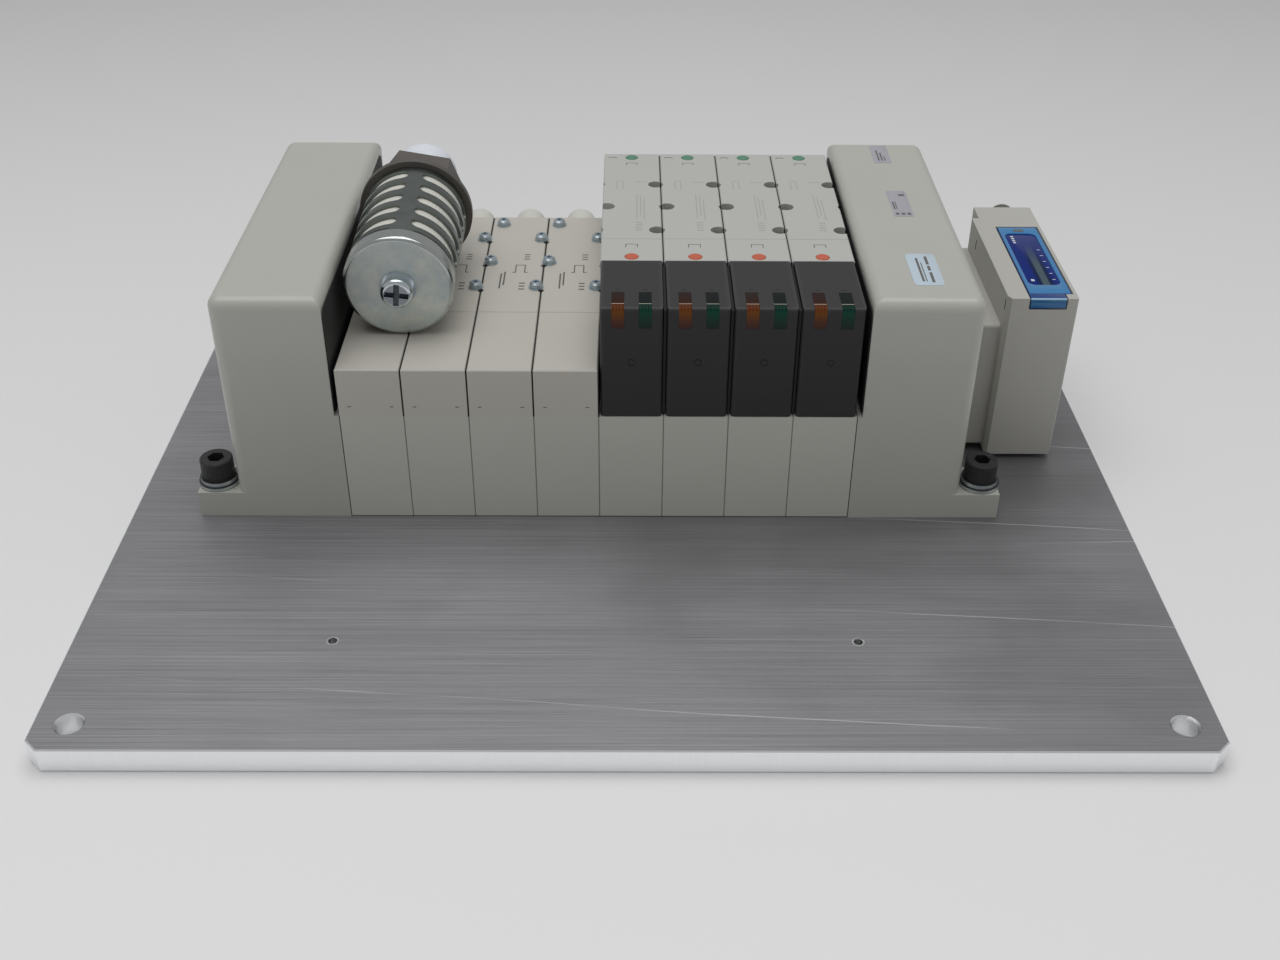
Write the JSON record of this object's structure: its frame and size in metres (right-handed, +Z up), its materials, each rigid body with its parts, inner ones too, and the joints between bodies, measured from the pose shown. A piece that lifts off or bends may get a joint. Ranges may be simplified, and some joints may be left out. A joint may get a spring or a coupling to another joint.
{
  "type": "pneumatic valve island",
  "caption": "Valve island on a drilled aluminium plate: tall end blocks, valves with override buttons and lights, blanking plates, a bus module and a loose silencer.",
  "frame": {"origin": "centre of the mounting plate's underside", "axes": "+X along the row of stations towards the bus module, +Y from the front to the port side, +Z up"},
  "size_m": [0.4, 0.35, 0.1266],
  "materials": {
    "plate_aluminium": "brushed",
    "base_beige": "satin",
    "end_block_beige": "satin",
    "blank_beige": "satin",
    "valve_white": "satin",
    "smoked_cover": "smooth",
    "amber_lens": "clear",
    "green_lens": "clear",
    "orange_button": "smooth",
    "green_button": "smooth",
    "turned_steel": "turned",
    "coil_black": "moulded",
    "gasket_rubber": "moulded",
    "zinc_screw": "zinc plated",
    "zinc_washer": "zinc plated",
    "black_screw": "black oxide",
    "fitting_beige": "satin",
    "zinc_plate": "zinc plated",
    "porous_element": "porous",
    "cast_zinc": "as cast",
    "bus_beige": "satin",
    "blue_lid": "smooth",
    "board_black": "satin",
    "connector_metal": "nickel plated"
  },
  "bodies": {
    "island": {"amber_lenses": "amber_lens", "blank_plate_1": "blank_beige", "blank_plate_2": "blank_beige", "blank_plate_3": "blank_beige", "blank_plate_4": "blank_beige", "blank_screws": "zinc_screw", "bus_adapter": "bus_beige", "bus_connectors": "connector_metal", "bus_housing": "bus_beige", "end_block_left": "end_block_beige", "end_block_right": "end_block_beige", "flat_washers": "zinc_washer", "green_lenses": "green_lens", "light_cover_1": "smoked_cover", "light_cover_2": "smoked_cover", "light_cover_3": "smoked_cover", "light_cover_4": "smoked_cover", "manifold_block_1": "base_beige", "manifold_block_2": "base_beige", "manifold_block_3": "base_beige", "manifold_block_4": "base_beige", "manifold_block_5": "base_beige", "manifold_block_6": "base_beige", "manifold_block_7": "base_beige", "manifold_block_8": "base_beige", "mounting_plate": "plate_aluminium", "mounting_screws": "black_screw", "pilot_coils": "coil_black", "pilot_head_1": "valve_white", "pilot_head_2": "valve_white", "pilot_head_3": "valve_white", "pilot_head_4": "valve_white", "port_fittings": "fitting_beige", "silencer_body": "cast_zinc", "silencer_cap": "zinc_plate", "silencer_element": "porous_element", "silencer_screw": "zinc_screw", "silencer_shell": "zinc_plate", "spring_washers": "zinc_washer", "station_gaskets": "gasket_rubber", "switch_board": "board_black", "tie_rods": "turned_steel", "valve_body_1": "valve_white", "valve_body_2": "valve_white", "valve_body_3": "valve_white", "valve_body_4": "valve_white", "valve_screws": "zinc_screw"},
    "button_a_1": {"override_a_1": "orange_button"},
    "button_b_1": {"override_b_1": "green_button"},
    "spool_1": {"valve_spool_1": "turned_steel"},
    "button_a_2": {"override_a_2": "orange_button"},
    "button_b_2": {"override_b_2": "green_button"},
    "spool_2": {"valve_spool_2": "turned_steel"},
    "button_a_3": {"override_a_3": "orange_button"},
    "button_b_3": {"override_b_3": "green_button"},
    "spool_3": {"valve_spool_3": "turned_steel"},
    "button_a_4": {"override_a_4": "orange_button"},
    "button_b_4": {"override_b_4": "green_button"},
    "spool_4": {"valve_spool_4": "turned_steel"},
    "lid": {"display_cover": "blue_lid"}
  },
  "joints": [
    {"name": "override_a_1_press", "type": "slide", "parent": "island", "child": "button_a_1", "axis": [0, 0, -1], "range_m": [0, 0.0012], "stiffness_N_per_m": 400, "springref_m": -0.002},
    {"name": "override_b_1_press", "type": "slide", "parent": "island", "child": "button_b_1", "axis": [0, 0, -1], "range_m": [0, 0.0012], "stiffness_N_per_m": 400, "springref_m": -0.002},
    {"name": "spool_1_shift", "type": "slide", "parent": "island", "child": "spool_1", "axis": [0, 1, 0], "range_m": [-0.0015, 0.0015]},
    {"name": "override_a_2_press", "type": "slide", "parent": "island", "child": "button_a_2", "axis": [0, 0, -1], "range_m": [0, 0.0012], "stiffness_N_per_m": 400, "springref_m": -0.002},
    {"name": "override_b_2_press", "type": "slide", "parent": "island", "child": "button_b_2", "axis": [0, 0, -1], "range_m": [0, 0.0012], "stiffness_N_per_m": 400, "springref_m": -0.002},
    {"name": "spool_2_shift", "type": "slide", "parent": "island", "child": "spool_2", "axis": [0, 1, 0], "range_m": [-0.0015, 0.0015]},
    {"name": "override_a_3_press", "type": "slide", "parent": "island", "child": "button_a_3", "axis": [0, 0, -1], "range_m": [0, 0.0012], "stiffness_N_per_m": 400, "springref_m": -0.002},
    {"name": "override_b_3_press", "type": "slide", "parent": "island", "child": "button_b_3", "axis": [0, 0, -1], "range_m": [0, 0.0012], "stiffness_N_per_m": 400, "springref_m": -0.002},
    {"name": "spool_3_shift", "type": "slide", "parent": "island", "child": "spool_3", "axis": [0, 1, 0], "range_m": [-0.0015, 0.0015]},
    {"name": "override_a_4_press", "type": "slide", "parent": "island", "child": "button_a_4", "axis": [0, 0, -1], "range_m": [0, 0.0012], "stiffness_N_per_m": 400, "springref_m": -0.002},
    {"name": "override_b_4_press", "type": "slide", "parent": "island", "child": "button_b_4", "axis": [0, 0, -1], "range_m": [0, 0.0012], "stiffness_N_per_m": 400, "springref_m": -0.002},
    {"name": "spool_4_shift", "type": "slide", "parent": "island", "child": "spool_4", "axis": [0, 1, 0], "range_m": [-0.0015, 0.0015]},
    {"name": "display_cover_hinge", "type": "hinge", "parent": "island", "child": "lid", "pos_m": [0.1691, 0.0687, 0.0852], "axis": [-1, 0, 0], "range_deg": [0, 95]}
  ]
}
